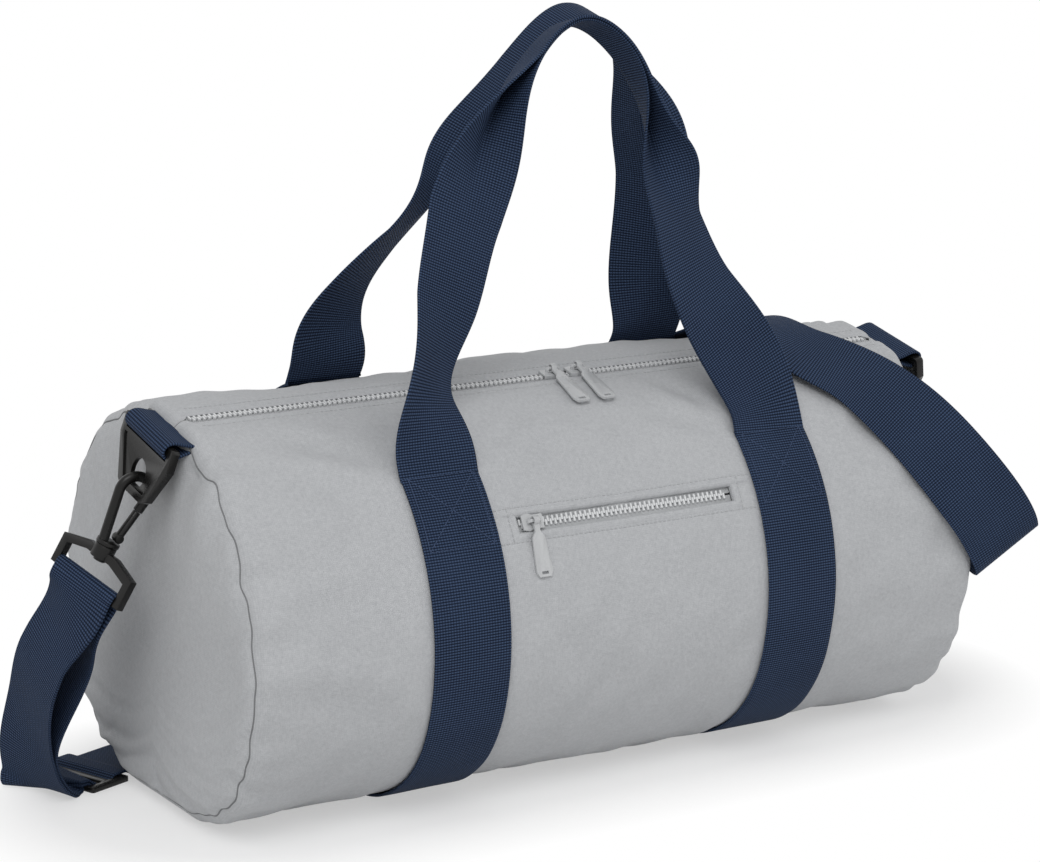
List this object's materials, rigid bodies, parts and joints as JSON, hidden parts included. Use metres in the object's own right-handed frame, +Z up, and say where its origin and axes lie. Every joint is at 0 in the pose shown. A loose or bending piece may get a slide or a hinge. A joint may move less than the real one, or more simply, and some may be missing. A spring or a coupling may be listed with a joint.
{
  "type": "barrel bag",
  "caption": "Cloth barrel bag with a zip along the top, a zipped front pocket, webbing bands that rise into twin carry handles, and a clip-on shoulder strap",
  "frame": {"origin": "on the floor below the middle of the barrel, where the base meets the floor", "axes": "+X along the barrel towards the end where the strap lies over the front, -Y the front with the pocket, +Z up"},
  "size_m": [0.6418, 0.3022, 0.4606],
  "materials": {
    "shell_cloth": "light grey plain-weave polyester, matt",
    "binding": "grey woven binding tape",
    "lining": "thin grey lining cloth",
    "zip_tape": "grey woven zip tape",
    "zip_teeth": "pale grey moulded teeth",
    "zip_slider": "light grey lacquer",
    "webbing": "navy ribbed polyester webbing",
    "fittings": "black moulded plastic, slightly glossy"
  },
  "bodies": {
    "bag": {"barrel_panel": "shell_cloth", "end_panel_left": "shell_cloth", "end_panel_right": "shell_cloth", "seam_binding_left": "binding", "seam_binding_right": "binding", "pocket_lining": "lining", "main_zip_tape_front": "zip_tape", "main_zip_teeth_front": "zip_teeth", "main_zip_tape_rear": "zip_tape", "main_zip_teeth_rear": "zip_teeth", "pocket_zip_tape_front": "zip_tape", "pocket_zip_teeth_front": "zip_teeth", "pocket_zip_tape_rear": "zip_tape", "pocket_zip_teeth_rear": "zip_teeth", "webbing_band_left": "webbing", "webbing_band_right": "webbing", "tab_left": "webbing", "tab_right": "webbing", "strap_loop": "webbing", "strap_main": "webbing", "hook_base_left": "fittings", "hook_base_right": "fittings", "slide_adjuster": "fittings"},
    "handle_front": {"handle_front": "webbing"},
    "handle_rear": {"handle_rear": "webbing"},
    "main_slider_left": {"main_slider_left": "zip_slider"},
    "main_pull_left": {"main_pull_left": "zip_slider"},
    "main_slider_right": {"main_slider_right": "zip_slider"},
    "main_pull_right": {"main_pull_right": "zip_slider"},
    "pocket_slider": {"pocket_slider": "zip_slider"},
    "pocket_pull": {"pocket_pull": "zip_slider"},
    "ring_left": {"ring_left": "fittings"},
    "ring_right": {"ring_right": "fittings"},
    "hook_left": {"hook_left": "fittings"},
    "hook_right": {"hook_right": "fittings"},
    "hook_gate_left": {"hook_gate_left": "fittings"},
    "hook_gate_right": {"hook_gate_right": "fittings"}
  },
  "joints": [
    {"name": "handle_front_fold", "type": "hinge", "parent": "bag", "child": "handle_front", "pos_m": [0, -0.09267, 0.20516], "axis": [1, 0, 0], "range_deg": [0, 108]},
    {"name": "handle_rear_fold", "type": "hinge", "parent": "bag", "child": "handle_rear", "pos_m": [0, 0.04122, 0.23607], "axis": [-1, 0, 0], "range_deg": [0, 84]},
    {"name": "main_zip_left", "type": "slide", "parent": "bag", "child": "main_slider_left", "axis": [-1, 0, 0], "range_m": [0, 0.233]},
    {"name": "main_zip_right", "type": "slide", "parent": "bag", "child": "main_slider_right", "axis": [1, 0, 0], "range_m": [0, 0.213]},
    {"name": "main_pull_left_swing", "type": "hinge", "parent": "main_slider_left", "child": "main_pull_left", "pos_m": [0.001, -0.03043, 0.24098], "axis": [-1, 0, 0], "range_deg": [0, 150]},
    {"name": "main_pull_right_swing", "type": "hinge", "parent": "main_slider_right", "child": "main_pull_right", "pos_m": [0.019, -0.03043, 0.24098], "axis": [-1, 0, 0], "range_deg": [0, 150]},
    {"name": "pocket_zip", "type": "slide", "parent": "bag", "child": "pocket_slider", "axis": [1, 0, 0], "range_m": [0, 0.131]},
    {"name": "pocket_pull_swing", "type": "hinge", "parent": "pocket_slider", "child": "pocket_pull", "pos_m": [-0.066, -0.11886, 0.17374], "axis": [-1, 0, 0], "range_deg": [0, 150]},
    {"name": "ring_left_swing", "type": "hinge", "parent": "bag", "child": "ring_left", "pos_m": [-0.262, -0.02771, 0.22924], "axis": [0, 0.9744, 0.225], "range_deg": [-2.5, 2.5]},
    {"name": "hook_left_swivel", "type": "hinge", "parent": "bag", "child": "hook_left", "pos_m": [-0.28521, -0.01367, 0.16578], "axis": [-0.431, 0.1904, -0.882], "range_deg": [-12, 12]},
    {"name": "hook_gate_left_press", "type": "hinge", "parent": "hook_left", "child": "hook_gate_left", "pos_m": [-0.27882, -0.01434, 0.16886], "axis": [0, -0.9775, -0.211], "range_deg": [0, 22], "stiffness_Nm_per_rad": 0.02, "springref_deg": -17.19},
    {"name": "ring_right_swing", "type": "hinge", "parent": "bag", "child": "ring_right", "pos_m": [0.262, -0.02771, 0.22924], "axis": [0, -0.9744, -0.225], "range_deg": [-2.5, 2]},
    {"name": "hook_right_swivel", "type": "hinge", "parent": "bag", "child": "hook_right", "pos_m": [0.27819, -0.04778, 0.1702], "axis": [0.25, -0.5499, -0.7969], "range_deg": [-6, 15]},
    {"name": "hook_gate_right_press", "type": "hinge", "parent": "hook_right", "child": "hook_gate_right", "pos_m": [0.27252, -0.04533, 0.17375], "axis": [0, 0.823, -0.568], "range_deg": [0, 22], "stiffness_Nm_per_rad": 0.02, "springref_deg": -17.19}
  ]
}
